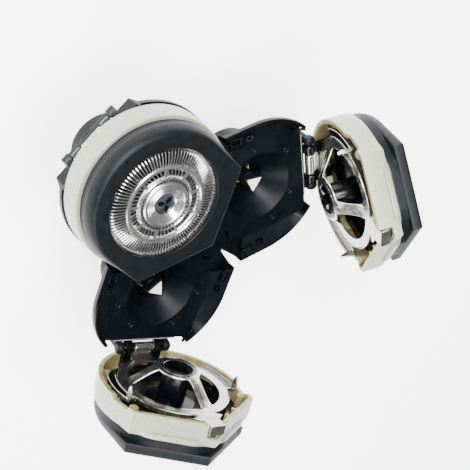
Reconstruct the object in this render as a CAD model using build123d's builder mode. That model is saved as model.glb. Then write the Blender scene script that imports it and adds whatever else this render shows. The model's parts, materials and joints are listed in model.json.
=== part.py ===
from build123d import *
import os
from math import acos, atan, cos, degrees, pi, radians, sin, tan

os.makedirs("parts", exist_ok=True)

# Three-head rotary shaving unit. Millimetres, +Z up towards the shaving faces.
# The origin is on the unit's axis, at the bottom face of the coupling collar.
# Each head is drawn in its own frame: x outwards from the unit's axis, y along
# the tangent, z up, with z = 0 at the shaving face.

# heads: name, direction, opening of the lid and turn of the spindle's tip, all in degrees
HEADS = [
    ("front", -90, 0.0, 0.0),
    ("right", 30, 82.8, 50.0),
    ("left", 150, 77.3, 18.0),
]
PITCH_R = 16.6
FACE_Z = 34.4
GAP = 0.05

# lid outline
LID_R = 14.5
TIP_R = 15.8
SHOULDER_R = 15.87
SHOULDER_ANGLE = 119.6
CAP_EDGE = 0.9
CAP_PLATE_Z = -2.0
RING_TOP_Z = -4.0
RING_BOTTOM_Z = -8.7
RING_R = 15.0
RING_GROW = 0.3
RING_WALL = 1.0
FLANGE_R = 14.9
FLANGE_T = 1.2
FLANGE_CUT = 14.3
NEIGHBOUR_ANGLES = (150, -150)
SKIRT_R = 14.3
NOTCH_W = 3.6
NOTCH_TOP_Z = -6.0
RIB_T = 0.8
RIB_L = 2.5
RIB_MID_R = 13.0
RIB_COUNT = 12
RIB_H = 1.2

# guard and cutter
GUARD_R = 10.5
GUARD_TOP_Z = 0.15
GUARD_T = 0.5
GUARD_WALL = 0.6
GUARD_FLANGE_R = 11.4
GUARD_FLANGE_Z = -1.2
GUARD_FLANGE_T = 0.5
SLOT_OUT_R = 9.9
SLOT_IN_R = 7.7
SLOT_COUNT = 90
SLOT_W = 0.26
TRACK_OUT_R = 6.8
TRACK_IN_R = 5.3
TRACK_COUNT = 48
TRACK_W = 0.36
CENTRE_R = 4.5
CENTRE_TOP_Z = 0.35
CENTRE_H = 1.1
DISH_R = 2.6
DISH_DEPTH = 0.5
BLADE_TOP_Z = -0.45
BLADE_BASE_Z = -3.6
BLADE_BASE_T = 0.6
BLADE_COUNT = 15
BLADE_T = 0.5
BLADE_OUT_R = 9.6
BLADE_IN_R = 7.8
INNER_BLADE_OUT_R = 6.7
INNER_BLADE_IN_R = 5.4
CUTTER_BORE_R = 2.0
HUB_DISC_R = 5.0
HUB_DISC_T = 1.2
HUB_R = 2.8
HUB_BOTTOM_Z = -12.35
SOCKET_R = 2.9
SOCKET_FILLET = 0.45
SOCKET_DEPTH = 4.0

# retaining frame
FRAME_Z = -8.6
FRAME_T = 0.5
FRAME_OUT_R = 11.2
FRAME_IN_R = 9.2
FRAME_HUB_Z = -12.3
FRAME_HUB_R = 4.2
FRAME_HOLE_R = 2.9
SPOKE_W = 1.8
SPOKE_ANGLES = (168, 48, 288)
TONGUE_W = 3.4
TONGUE_END_X = -15.5
TONGUE_TOP_Z = -6.6
STRIP_OUT_R = 13.2
STRIP_START = 62
STRIP_END = 106
PRONG_X = -3.4
PRONG_Y = 12.5
PRONG_W = 1.4
PRONG_BOTTOM_Z = -11.4
ROLLER_R = 1.05
ROLLER_L = 4.7

# hinge of the lid
HINGE_X = 12.6
HINGE_Z = -10.2
PIN_R = 0.5
PIN_L = 12.6
KNUCKLE_IN_Y = 2.6
KNUCKLE_OUT_Y = 4.5
KNUCKLE_R = 1.3
BARREL_R = 1.35
BARREL_IN_Y = 4.7
BARREL_OUT_Y = 6.4

# pod under each lid
TABLE_Z = -10.4
POD_RIM_Z = -8.9
POD_R = 15.2
POD_SHOULDER_X = -6.8
POD_SHOULDER_Y = 15.2
POD_WALL_Z = -10.1
POD_BOTTOM_Z = -17.2
POD_TAPER = 38
POD_CORNER_X = 9.6
POD_CORNER_Y = 10.8
POD_SIDE_X = 0.9
POD_SIDE_Y = 11.4
POD_RIM_SPREAD = 1.0
POD_SIDE_SPREAD = 2.6
TROUGH_X = 10.9
TROUGH_Y = 9.3
TROUGH_Z = -13.3
CUP_R = 7.5
CUP_NECK_R = 3.3
CUP_NECK_Z = -14.4
POCKET_W = 2.8
POCKET_L = 1.6
POCKET_Z = -11.7
PIVOT_X = -10.2
PIVOT_Z = -12.2
PIVOT_R = 0.8
PIVOT_L = 16.6
LUG_R = 1.5
LUG_L = 10.0
POD_CLEAR = 0.45
POD_SPRING_X = 5.6
POD_SPRING_R = 1.1
SPRING_WIRE = 0.4

# central spider between the pods
ARM = [(3.1, 7.4), (3.6, 10.8), (2.0, 12.9)]
ARM_T = 3.4
COLUMN_R = 4.4
COVER_HOLE_R = 3.0

# spindle
TIP_TRIANGLE_R = 2.5
TIP_FILLET = 0.25
TIP_TOP_Z = -11.9
TIP_H = 1.7
SHAFT_R = 1.6
SHAFT_BOTTOM_Z = -21.6
COLLAR_R = 2.4
COLLAR_Z = -16.6
COLLAR_T = 0.6
SPINDLE_SPRING_R = 2.3

# gear train and coupling, with heights in the unit's own frame
SUN_TEETH = 24
PLANET_TEETH = 11
MODULE = 2 * PITCH_R / (SUN_TEETH + PLANET_TEETH)
PRESSURE = radians(20)
ADDENDUM = 0.8
DEDENDUM = 1.1
BACKLASH = 0.16
GEAR_BOTTOM = 12.0
GEAR_TOP = 14.0
STUB_R = 2.4
STUB_H = 1.0
STUB_BORE = 0.8
FLOOR_BOTTOM = 10.5
FLOOR_TOP = 11.8
WALL_TOP = 14.3
COVER_TOP = 15.5
CORE_R = 14.2
LOBE_R = 7.0
FLOOR_STEP = 0.8
FLOOR_STEP_Z = 11.1
EAR_R = 2.5
EAR_PITCH_R = 15.6
HOUSING_WALL = 0.9
COUPLING_R = 12.0
COUPLING_IN_R = 10.4
GROOVE_BOTTOM = 6.0
GROOVE_H = 1.2
GROOVE_DEPTH = 0.6
BOSS_R = 6.0
BOSS_BOTTOM = 5.2
BUSH_R = 4.2
DRIVE_R = 3.0
DRIVE_BOTTOM = 2.5
DRIVE_TOP = 14.9
SPIGOT_R = 2.0
SOCKET_BORE_R = 1.6
SOCKET_BORE_L = 4.5
KEY_W = 1.0
SCREW_R = 0.8
SCREW_HEAD_R = 1.6
SCREW_HEAD_T = 0.9
SCREW_TOP = 15.1


def seat_plane(direction):
    """Frame of a closed head: origin at the centre of its shaving face."""
    a = radians(direction)
    return Plane(
        origin=(PITCH_R * cos(a), PITCH_R * sin(a), FACE_Z),
        x_dir=(cos(a), sin(a), 0),
        z_dir=(0, 0, 1),
    )


def lid_plane(direction, opening):
    """The same frame, swung up about the lid's hinge axis by the opening angle."""
    a, b = radians(direction), radians(opening)
    x = HINGE_X - HINGE_X * cos(b) - HINGE_Z * sin(b)
    z = HINGE_Z + HINGE_X * sin(b) - HINGE_Z * cos(b)
    out = PITCH_R + x
    return Plane(
        origin=(out * cos(a), out * sin(a), FACE_Z + z),
        x_dir=(cos(a) * cos(b), sin(a) * cos(b), -sin(b)),
        z_dir=(cos(a) * sin(b), sin(a) * sin(b), cos(b)),
    )


def side_plane(face, y):
    """Upright plane through a head at tangential place y; its x is outwards and its y is up."""
    return Plane(
        origin=face.from_local_coords((0, y, 0)),
        x_dir=face.x_dir,
        z_dir=-face.y_dir,
    )


def finish_piece(part, name):
    part.label = name
    export_step(part, f"parts/{name}.step")


# ---------------------------------------------------------------- outlines

def draw_round_with_corners(radius, touch, corner, tip_x):
    """Round outside up to the touch angle, then straight sides through a corner to the tip."""
    start = (radius * cos(touch), radius * sin(touch))
    Circle(radius)
    with Locations((start[0] - radius, 0)):
        Rectangle(2 * radius, 2 * radius, mode=Mode.SUBTRACT)
    mirrored = [(corner[0], -corner[1]), (start[0], -start[1])]
    Polygon(start, corner, (tip_x, 0), *mirrored, align=None)


def draw_lid_outline(radius, grow=0.0):
    """Lid seen from above; its two inner sides meet at a 120 degree tip."""
    reach = SHOULDER_R + grow
    shoulder = radians(SHOULDER_ANGLE)
    corner = (reach * cos(shoulder), reach * sin(shoulder))
    draw_round_with_corners(radius, shoulder - acos(radius / reach), corner, -TIP_R - grow)


def draw_pod_outline():
    """Pod seen from above; its shoulders nearly meet the next pods."""
    reach = (POD_SHOULDER_X**2 + POD_SHOULDER_Y**2) ** 0.5
    touch = acos(POD_SHOULDER_X / reach) - acos(POD_R / reach)
    tip_x = POD_SHOULDER_X - POD_SHOULDER_Y / tan(pi / 3)
    draw_round_with_corners(POD_R, touch, (POD_SHOULDER_X, POD_SHOULDER_Y), tip_x)


def spider_points(grow=0.0):
    """Corners of the three-armed spider; the arms lie between the heads."""
    points = []
    for direction in (90, 210, 330):
        a = radians(direction)
        side = ARM + [(-v, u) for v, u in reversed(ARM)]
        for v, u in side:
            v, u = v + (grow if v > 0 else -grow), u + grow
            points.append((u * cos(a) + v * sin(a), u * sin(a) - v * cos(a)))
    return points


def draw_trefoil(core, lobe, ear=0.0):
    """Gearbox outline: a round core, a lobe under each head and an ear between the lobes."""
    Circle(core)
    with PolarLocations(PITCH_R, len(HEADS), start_angle=HEADS[0][1]):
        Circle(lobe)
    if ear:
        with PolarLocations(EAR_PITCH_R, len(HEADS), start_angle=-HEADS[0][1]):
            Circle(ear)


def gear_points(teeth):
    """Involute teeth, one centred on the x axis, as points round the gear."""
    pitch_r = MODULE * teeth / 2
    base_r = pitch_r * cos(PRESSURE)
    tip_r = pitch_r + ADDENDUM * MODULE
    root_r = pitch_r - DEDENDUM * MODULE
    low_r = max(base_r, root_r)
    half = pi / (2 * teeth) - BACKLASH / (2 * pitch_r) + tan(PRESSURE) - PRESSURE
    steps = 4
    flank = [(root_r, half)] if root_r < base_r else []
    for i in range(steps + 1):
        r = low_r + (tip_r - low_r) * i / steps
        roll = acos(min(1.0, base_r / r))
        flank.append((r, half - (tan(roll) - roll)))
    points = []
    for tooth in range(teeth):
        centre = 2 * pi * tooth / teeth
        for r, a in flank:
            points.append((r * cos(centre - a), r * sin(centre - a)))
        for r, a in reversed(flank):
            points.append((r * cos(centre + a), r * sin(centre + a)))
    return points


# ---------------------------------------------------------------- lid

def make_lid_cap(face):
    """Black cap: a flat plate with overhanging corners over a round skirt."""
    skirt_top_z = CAP_PLATE_Z
    with BuildPart() as cap:
        with BuildSketch(face.offset(CAP_PLATE_Z)):
            draw_lid_outline(LID_R)
        extrude(amount=-CAP_PLATE_Z)
        top = cap.faces().sort_by(Axis(face.origin, face.z_dir))[-1]
        chamfer(top.outer_wire().edges(), CAP_EDGE)
        with BuildSketch(face.offset(RING_TOP_Z)):
            Circle(SKIRT_R)
        skirt_h = skirt_top_z - RING_TOP_Z
        extrude(amount=skirt_h, taper=degrees(atan((SKIRT_R - LID_R + CAP_EDGE / 3) / skirt_h)))
        with BuildSketch(face):
            Circle(GUARD_R + GAP)
        extrude(amount=GUARD_FLANGE_Z, mode=Mode.SUBTRACT)
        with BuildSketch(face.offset(GUARD_FLANGE_Z)):
            Circle(GUARD_FLANGE_R + GAP)
        extrude(amount=RING_TOP_Z - GUARD_FLANGE_Z, mode=Mode.SUBTRACT)
    return cap.part


def make_lid_ring(face):
    """Trim ring under the cap: hollow below, notched at its tip, with two hinge knuckles."""
    with BuildPart() as ring:
        with BuildSketch(face.offset(RING_BOTTOM_Z)):
            draw_lid_outline(RING_R, RING_GROW)
        extrude(amount=RING_TOP_Z - RING_BOTTOM_Z)
        with BuildSketch(face.offset(RING_TOP_Z)):
            Circle(FLANGE_R)
            for angle in NEIGHBOUR_ANGLES:
                with PolarLocations(FLANGE_CUT + RING_R / 2, 1, start_angle=angle):
                    Rectangle(RING_R, 2 * RING_R, mode=Mode.SUBTRACT)
        extrude(amount=-FLANGE_T)
        with BuildSketch(face.offset(RING_BOTTOM_Z)):
            draw_lid_outline(RING_R - RING_WALL, RING_GROW - RING_WALL)
        extrude(amount=RING_TOP_Z - FLANGE_T - RING_BOTTOM_Z, mode=Mode.SUBTRACT)
        with BuildSketch(face.offset(RING_TOP_Z)):
            Circle(GUARD_FLANGE_R)
        extrude(amount=-FLANGE_T, mode=Mode.SUBTRACT)
        with BuildSketch(face.offset(RING_TOP_Z - FLANGE_T)):
            with PolarLocations(RIB_MID_R, RIB_COUNT, start_angle=15):
                Rectangle(RIB_L, RIB_T)
        extrude(amount=-RIB_H)
        with BuildSketch(side_plane(face, 0)):
            with Locations((-TIP_R, (RING_BOTTOM_Z + NOTCH_TOP_Z) / 2)):
                Rectangle(4 * RING_WALL, NOTCH_TOP_Z - RING_BOTTOM_Z)
        extrude(amount=NOTCH_W / 2, both=True, mode=Mode.SUBTRACT)
        for y in (KNUCKLE_IN_Y, -KNUCKLE_OUT_Y):
            with BuildSketch(side_plane(face, y)):
                with Locations((HINGE_X, HINGE_Z)):
                    Circle(KNUCKLE_R)
                web_h = RING_TOP_Z - FLANGE_T - HINGE_Z
                with Locations((HINGE_X, HINGE_Z + web_h / 2)):
                    Rectangle(2 * PIN_R + 2 * GAP, web_h)
                with Locations((HINGE_X, HINGE_Z)):
                    Circle(PIN_R + GAP, mode=Mode.SUBTRACT)
            extrude(amount=-(KNUCKLE_OUT_Y - KNUCKLE_IN_Y))
    return ring.part


def make_guard(face):
    """Slotted steel guard with its wall and flange."""
    with BuildPart() as guard:
        with BuildSketch(face.offset(GUARD_TOP_Z)):
            Circle(GUARD_R)
            Circle(CENTRE_R, mode=Mode.SUBTRACT)
            with PolarLocations((SLOT_OUT_R + SLOT_IN_R) / 2, SLOT_COUNT):
                Rectangle(SLOT_OUT_R - SLOT_IN_R, SLOT_W, mode=Mode.SUBTRACT)
            with PolarLocations((TRACK_OUT_R + TRACK_IN_R) / 2, TRACK_COUNT):
                Rectangle(TRACK_OUT_R - TRACK_IN_R, TRACK_W, mode=Mode.SUBTRACT)
        extrude(amount=-GUARD_T)
        with BuildSketch(face.offset(GUARD_TOP_Z - GUARD_T)):
            Circle(GUARD_R)
            Circle(GUARD_R - GUARD_WALL, mode=Mode.SUBTRACT)
        extrude(amount=GUARD_FLANGE_Z - GUARD_FLANGE_T - GUARD_TOP_Z + GUARD_T)
        with BuildSketch(face.offset(GUARD_FLANGE_Z)):
            Circle(GUARD_FLANGE_R)
            Circle(GUARD_R - GUARD_WALL, mode=Mode.SUBTRACT)
        extrude(amount=-GUARD_FLANGE_T)
    return guard.part


def make_guard_centre(face):
    """Dished disc that fills the middle of the guard."""
    with BuildPart() as centre:
        with BuildSketch(face.offset(CENTRE_TOP_Z)):
            Circle(CENTRE_R - GAP)
        extrude(amount=-CENTRE_H)
        with BuildSketch(face.offset(CENTRE_TOP_Z)):
            Circle(DISH_R)
        extrude(amount=-DISH_DEPTH, taper=45, mode=Mode.SUBTRACT)
    return centre.part


def make_cutter(face):
    """Ring of upright blades, in two tracks, on one base."""
    with BuildPart() as cutter:
        with BuildSketch(face.offset(BLADE_BASE_Z)):
            Circle(BLADE_OUT_R)
            Circle(CUTTER_BORE_R, mode=Mode.SUBTRACT)
        extrude(amount=-BLADE_BASE_T)
        with BuildSketch(face.offset(BLADE_BASE_Z)):
            with PolarLocations((BLADE_OUT_R + BLADE_IN_R) / 2 - GAP, BLADE_COUNT):
                Rectangle(BLADE_OUT_R - BLADE_IN_R, BLADE_T)
            with PolarLocations((INNER_BLADE_OUT_R + INNER_BLADE_IN_R) / 2, BLADE_COUNT):
                Rectangle(INNER_BLADE_OUT_R - INNER_BLADE_IN_R, BLADE_T)
        extrude(amount=BLADE_TOP_Z - BLADE_BASE_Z)
    return cutter.part


def make_cutter_hub(face, turn):
    """Moulded hub of the cutter, with a triangular socket for the spindle's tip."""
    disc_z = BLADE_BASE_Z - BLADE_BASE_T
    with BuildPart() as hub:
        with BuildSketch(face.offset(disc_z)):
            Circle(HUB_DISC_R)
        extrude(amount=-HUB_DISC_T)
        with BuildSketch(face.offset(disc_z)):
            Circle(CUTTER_BORE_R - GAP)
        extrude(amount=BLADE_BASE_T)
        with BuildSketch(face.offset(HUB_BOTTOM_Z)):
            Circle(HUB_R)
        extrude(amount=disc_z - HUB_BOTTOM_Z)
        with BuildSketch(face.offset(HUB_BOTTOM_Z)) as socket:
            RegularPolygon(SOCKET_R, 3, rotation=turn)
            fillet(socket.vertices(), SOCKET_FILLET)
        extrude(amount=SOCKET_DEPTH, mode=Mode.SUBTRACT)
    return hub.part


def make_retaining_frame(face):
    """Pressed steel frame that holds the cutter in: rim, hub ring, spokes, tongue, prongs, roller."""
    mid_r = (FRAME_IN_R + FRAME_OUT_R) / 2
    with BuildPart() as frame:
        with BuildSketch(face.offset(FRAME_Z)):
            Circle(FRAME_OUT_R)
            Circle(FRAME_IN_R, mode=Mode.SUBTRACT)
        extrude(amount=FRAME_T)
        with BuildSketch(face.offset(FRAME_HUB_Z)):
            Circle(FRAME_HUB_R)
            Circle(FRAME_HOLE_R, mode=Mode.SUBTRACT)
        extrude(amount=FRAME_T)
        for angle in SPOKE_ANGLES:
            turned = face.location * Location((0, 0, 0), (0, 0, angle))
            spoke = Plane(turned * Location((0, 0, 0), (90, 0, 0)))
            with BuildSketch(spoke):
                with BuildLine():
                    Polyline(
                        (FRAME_HOLE_R + FRAME_T, FRAME_HUB_Z),
                        (FRAME_HUB_R, FRAME_HUB_Z),
                        (mid_r, FRAME_Z),
                        (mid_r, FRAME_Z + FRAME_T),
                        (FRAME_IN_R, FRAME_Z + FRAME_T),
                        (FRAME_HUB_R - FRAME_T, FRAME_HUB_Z + FRAME_T),
                        (FRAME_HOLE_R + FRAME_T, FRAME_HUB_Z + FRAME_T),
                        close=True,
                    )
                make_face()
            extrude(amount=SPOKE_W / 2, both=True)
        with BuildSketch(side_plane(face, 0)):
            with BuildLine():
                Polyline(
                    (-FRAME_OUT_R + FRAME_T, FRAME_Z),
                    (TONGUE_END_X, FRAME_Z),
                    (TONGUE_END_X, TONGUE_TOP_Z),
                    (TONGUE_END_X + FRAME_T, TONGUE_TOP_Z),
                    (TONGUE_END_X + FRAME_T, FRAME_Z + FRAME_T),
                    (-FRAME_OUT_R + FRAME_T, FRAME_Z + FRAME_T),
                    close=True,
                )
            make_face()
        extrude(amount=TONGUE_W / 2, both=True)
        with BuildSketch(face.offset(FRAME_Z)):
            for start in (STRIP_START, -STRIP_END):
                with BuildLine():
                    outer = CenterArc((0, 0), STRIP_OUT_R, start, STRIP_END - STRIP_START)
                    inner = CenterArc((0, 0), mid_r, start, STRIP_END - STRIP_START)
                    Line(outer @ 0, inner @ 0)
                    Line(outer @ 1, inner @ 1)
                make_face()
        extrude(amount=FRAME_T)
        with BuildSketch(face.offset(FRAME_Z)):
            for y in (PRONG_Y, -PRONG_Y):
                with Locations((PRONG_X, y)):
                    Rectangle(PRONG_W, FRAME_T)
        extrude(amount=PRONG_BOTTOM_Z - FRAME_Z)
        with BuildSketch(side_plane(face, 0)):
            with BuildLine():
                Polyline(
                    (FRAME_OUT_R - FRAME_T, FRAME_Z),
                    (FRAME_OUT_R - FRAME_T, FRAME_Z + FRAME_T),
                    (HINGE_X, FRAME_Z + FRAME_T),
                    (HINGE_X + FRAME_T, HINGE_Z),
                    (HINGE_X - FRAME_T, HINGE_Z),
                    (HINGE_X - FRAME_T, FRAME_Z),
                    close=True,
                )
            make_face()
            with Locations((HINGE_X, HINGE_Z)):
                Circle(ROLLER_R)
                Circle(PIN_R + GAP, mode=Mode.SUBTRACT)
        extrude(amount=ROLLER_L / 2, both=True)
    return frame.part


# ---------------------------------------------------------------- pod

def make_pod(seat):
    """Pod under a lid: a dished table, a raised rim, a hinge trough and pivot lugs."""
    with BuildPart() as pod:
        with BuildSketch(seat.offset(POD_RIM_Z)):
            draw_pod_outline()
        extrude(amount=POD_WALL_Z - POD_RIM_Z)
        with BuildSketch(seat.offset(POD_WALL_Z)):
            draw_pod_outline()
        extrude(amount=POD_BOTTOM_Z - POD_WALL_Z, taper=POD_TAPER)
        for z, spread, grow in ((TABLE_Z, 0, 0), (POD_RIM_Z, POD_RIM_SPREAD, POD_SIDE_SPREAD)):
            corner = (POD_CORNER_X + spread, POD_CORNER_Y + spread)
            side_y = POD_SIDE_Y + grow
            with BuildSketch(seat.offset(z)):
                with BuildLine():
                    Polyline(
                        (TROUGH_X + spread, TROUGH_Y + spread),
                        corner,
                        (POD_SIDE_X, side_y),
                        (POD_SHOULDER_X, side_y),
                        (-TIP_R - spread, 0),
                        (POD_SHOULDER_X, -side_y),
                        (POD_SIDE_X, -side_y),
                        (corner[0], -corner[1]),
                        (TROUGH_X + spread, -TROUGH_Y - spread),
                        close=True,
                    )
                make_face()
        loft(mode=Mode.SUBTRACT)
        with BuildSketch(seat.offset(TROUGH_Z)):
            with Locations(((TROUGH_X + POD_R) / 2 + GAP, 0)):
                Rectangle(POD_R - TROUGH_X + 2 * GAP, 2 * TROUGH_Y)
        extrude(amount=POD_RIM_Z - TROUGH_Z, mode=Mode.SUBTRACT)
        with BuildSketch(seat.offset(TABLE_Z)):
            Circle(CUP_R)
        with BuildSketch(seat.offset(CUP_NECK_Z)):
            Circle(CUP_NECK_R)
        loft(mode=Mode.SUBTRACT)
        with BuildSketch(seat.offset(POD_BOTTOM_Z)):
            Circle(CUP_NECK_R)
        extrude(amount=CUP_NECK_Z - POD_BOTTOM_Z, mode=Mode.SUBTRACT)
        with BuildSketch(seat.offset(POCKET_Z)):
            for y in (PRONG_Y, -PRONG_Y):
                with Locations((PRONG_X, y)):
                    Rectangle(POCKET_W, POCKET_L)
        extrude(amount=POD_RIM_Z - POCKET_Z, mode=Mode.SUBTRACT)
        with BuildSketch(Plane.XY.offset(FACE_Z + POD_BOTTOM_Z)):
            Polygon(*spider_points(POD_CLEAR), align=None)
        extrude(amount=POD_RIM_Z - POD_BOTTOM_Z, mode=Mode.SUBTRACT)
        with BuildSketch(side_plane(seat, 0)):
            with Locations((PIVOT_X, PIVOT_Z)):
                Circle(LUG_R)
            with Locations((PIVOT_X + LUG_R, PIVOT_Z - LUG_R / 2)):
                Rectangle(2 * LUG_R, LUG_R)
        extrude(amount=LUG_L / 2, both=True)
        with BuildSketch(side_plane(seat, 0)):
            with Locations((PIVOT_X, PIVOT_Z)):
                Circle(PIVOT_R + GAP)
        extrude(amount=PIVOT_L, both=True, mode=Mode.SUBTRACT)
    return pod.part


def make_hinge_bracket(seat):
    """Black hinge block: two barrels on one foot, either side of the moving knuckles."""
    foot_h = HINGE_Z - TROUGH_Z
    with BuildPart() as bracket:
        for y in (BARREL_IN_Y, -BARREL_OUT_Y):
            with BuildSketch(side_plane(seat, y)):
                with Locations((HINGE_X, HINGE_Z)):
                    Circle(BARREL_R)
                with Locations(((TROUGH_X + HINGE_X) / 2, TROUGH_Z + foot_h / 2)):
                    Rectangle(HINGE_X - TROUGH_X, foot_h)
                with Locations((HINGE_X, HINGE_Z)):
                    Circle(PIN_R, mode=Mode.SUBTRACT)
            extrude(amount=-(BARREL_OUT_Y - BARREL_IN_Y))
        foot_t = foot_h - BARREL_R - GAP
        with BuildSketch(seat.offset(TROUGH_Z)):
            with Locations(((TROUGH_X + HINGE_X) / 2, 0)):
                Rectangle(HINGE_X - TROUGH_X, 2 * BARREL_OUT_Y)
        extrude(amount=foot_t)
    return bracket.part


def make_rod(seat, x, z, radius, length):
    """Plain round pin along the tangent."""
    with BuildPart() as rod:
        with BuildSketch(side_plane(seat, 0)):
            with Locations((x, z)):
                Circle(radius)
        extrude(amount=length / 2, both=True)
    return rod.part


def make_spring(seat, x, bottom, top, radius):
    """Plain tube that stands for a coil spring."""
    with BuildPart() as spring:
        with BuildSketch(seat.offset(bottom)):
            with Locations((x, 0)):
                Circle(radius)
                Circle(radius - SPRING_WIRE, mode=Mode.SUBTRACT)
        extrude(amount=top - bottom)
    return spring.part


# ---------------------------------------------------------------- drive of one head

def make_spindle(seat, turn):
    """Sprung spindle with its triangular tip."""
    with BuildPart() as spindle:
        with BuildSketch(seat.offset(SHAFT_BOTTOM_Z)):
            Circle(SHAFT_R)
        extrude(amount=TIP_TOP_Z - TIP_H - SHAFT_BOTTOM_Z)
        with BuildSketch(seat.offset(COLLAR_Z)):
            Circle(COLLAR_R)
        extrude(amount=COLLAR_T)
        with BuildSketch(seat.offset(TIP_TOP_Z - TIP_H)) as tip:
            RegularPolygon(TIP_TRIANGLE_R, 3, rotation=turn)
            fillet(tip.vertices(), TIP_FILLET)
        extrude(amount=TIP_H)
    return spindle.part


def make_planet_gear(seat):
    """Planet gear with its lower stub and the bore that the spindle slides in."""
    level = seat.offset(GEAR_BOTTOM - FACE_Z)
    with BuildPart() as gear:
        with BuildSketch(level):
            Polygon(*gear_points(PLANET_TEETH), align=None)
        extrude(amount=GEAR_TOP - GEAR_BOTTOM)
        with BuildSketch(level):
            Circle(STUB_R)
        extrude(amount=-STUB_H)
        with BuildSketch(level.offset(-STUB_BORE)):
            Circle(SHAFT_R + GAP)
        extrude(amount=GEAR_TOP - GEAR_BOTTOM + STUB_BORE, mode=Mode.SUBTRACT)
    return gear.part


# ---------------------------------------------------------------- base

def make_coupling_housing():
    """Lower half of the gearbox, with the collar that plugs onto a handle."""
    with BuildPart() as housing:
        with BuildSketch():
            Circle(COUPLING_R)
            Circle(COUPLING_IN_R, mode=Mode.SUBTRACT)
        extrude(amount=FLOOR_BOTTOM)
        with BuildSketch(Plane.XY.offset(FLOOR_BOTTOM)):
            draw_trefoil(CORE_R - FLOOR_STEP, LOBE_R - FLOOR_STEP, EAR_R)
        extrude(amount=FLOOR_STEP_Z - FLOOR_BOTTOM)
        with BuildSketch(Plane.XY.offset(FLOOR_STEP_Z)):
            draw_trefoil(CORE_R, LOBE_R, EAR_R)
        extrude(amount=WALL_TOP - FLOOR_STEP_Z)
        with BuildSketch(Plane.XY.offset(FLOOR_TOP)):
            draw_trefoil(CORE_R - HOUSING_WALL, LOBE_R - HOUSING_WALL)
        extrude(amount=WALL_TOP - FLOOR_TOP, mode=Mode.SUBTRACT)
        with BuildSketch(Plane.XY.offset(BOSS_BOTTOM)):
            Circle(BOSS_R)
        extrude(amount=FLOOR_BOTTOM - BOSS_BOTTOM)
        with BuildSketch(Plane.XY.offset(BOSS_BOTTOM)):
            Circle(BUSH_R)
        extrude(amount=FLOOR_TOP - BOSS_BOTTOM, mode=Mode.SUBTRACT)
        with BuildSketch(Plane.XY.offset(GROOVE_BOTTOM)):
            Circle(COUPLING_R)
            Circle(COUPLING_R - GROOVE_DEPTH, mode=Mode.SUBTRACT)
        extrude(amount=GROOVE_H, mode=Mode.SUBTRACT)
        with BuildSketch(Plane.XY.offset(FLOOR_TOP)):
            with PolarLocations(PITCH_R, len(HEADS), start_angle=HEADS[0][1]):
                Circle(STUB_R + GAP)
        extrude(amount=-STUB_H, mode=Mode.SUBTRACT)
        with BuildSketch(Plane.XY.offset(FLOOR_BOTTOM)):
            with PolarLocations(EAR_PITCH_R, len(HEADS), start_angle=-HEADS[0][1]):
                Circle(SCREW_R + GAP)
        extrude(amount=WALL_TOP - FLOOR_BOTTOM, mode=Mode.SUBTRACT)
        with BuildSketch(Plane.XY.offset(FLOOR_BOTTOM)):
            with PolarLocations(EAR_PITCH_R, len(HEADS), start_angle=-HEADS[0][1]):
                Circle(SCREW_HEAD_R + GAP)
        extrude(amount=SCREW_HEAD_T, mode=Mode.SUBTRACT)
    return housing.part


def make_gearbox_cover():
    """Upper half of the gearbox, with a hole for each spindle."""
    with BuildPart() as cover:
        with BuildSketch(Plane.XY.offset(WALL_TOP)):
            draw_trefoil(CORE_R, LOBE_R, EAR_R)
            with PolarLocations(PITCH_R, len(HEADS), start_angle=HEADS[0][1]):
                Circle(COVER_HOLE_R, mode=Mode.SUBTRACT)
        extrude(amount=COVER_TOP - WALL_TOP)
        with BuildSketch(Plane.XY.offset(WALL_TOP)):
            Circle(SPIGOT_R + GAP)
        extrude(amount=DRIVE_TOP + GAP - WALL_TOP, mode=Mode.SUBTRACT)
        with BuildSketch(Plane.XY.offset(WALL_TOP)):
            with PolarLocations(EAR_PITCH_R, len(HEADS), start_angle=-HEADS[0][1]):
                Circle(SCREW_R)
        extrude(amount=SCREW_TOP - WALL_TOP, mode=Mode.SUBTRACT)
    return cover.part


def make_housing_screws():
    """Three screws that close the gearbox from below."""
    with BuildPart() as screws:
        with BuildSketch(Plane.XY.offset(FLOOR_BOTTOM)):
            with PolarLocations(EAR_PITCH_R, len(HEADS), start_angle=-HEADS[0][1]):
                Circle(SCREW_HEAD_R)
        extrude(amount=SCREW_HEAD_T)
        with BuildSketch(Plane.XY.offset(FLOOR_BOTTOM + SCREW_HEAD_T)):
            with PolarLocations(EAR_PITCH_R, len(HEADS), start_angle=-HEADS[0][1]):
                Circle(SCREW_R)
        extrude(amount=SCREW_TOP - FLOOR_BOTTOM - SCREW_HEAD_T)
        with BuildSketch(Plane.XY.offset(FLOOR_BOTTOM)):
            with PolarLocations(EAR_PITCH_R, len(HEADS), start_angle=-HEADS[0][1]):
                Rectangle(SCREW_HEAD_R, SCREW_R / 2)
        extrude(amount=SCREW_HEAD_T / 2, mode=Mode.SUBTRACT)
    return screws.part


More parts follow.
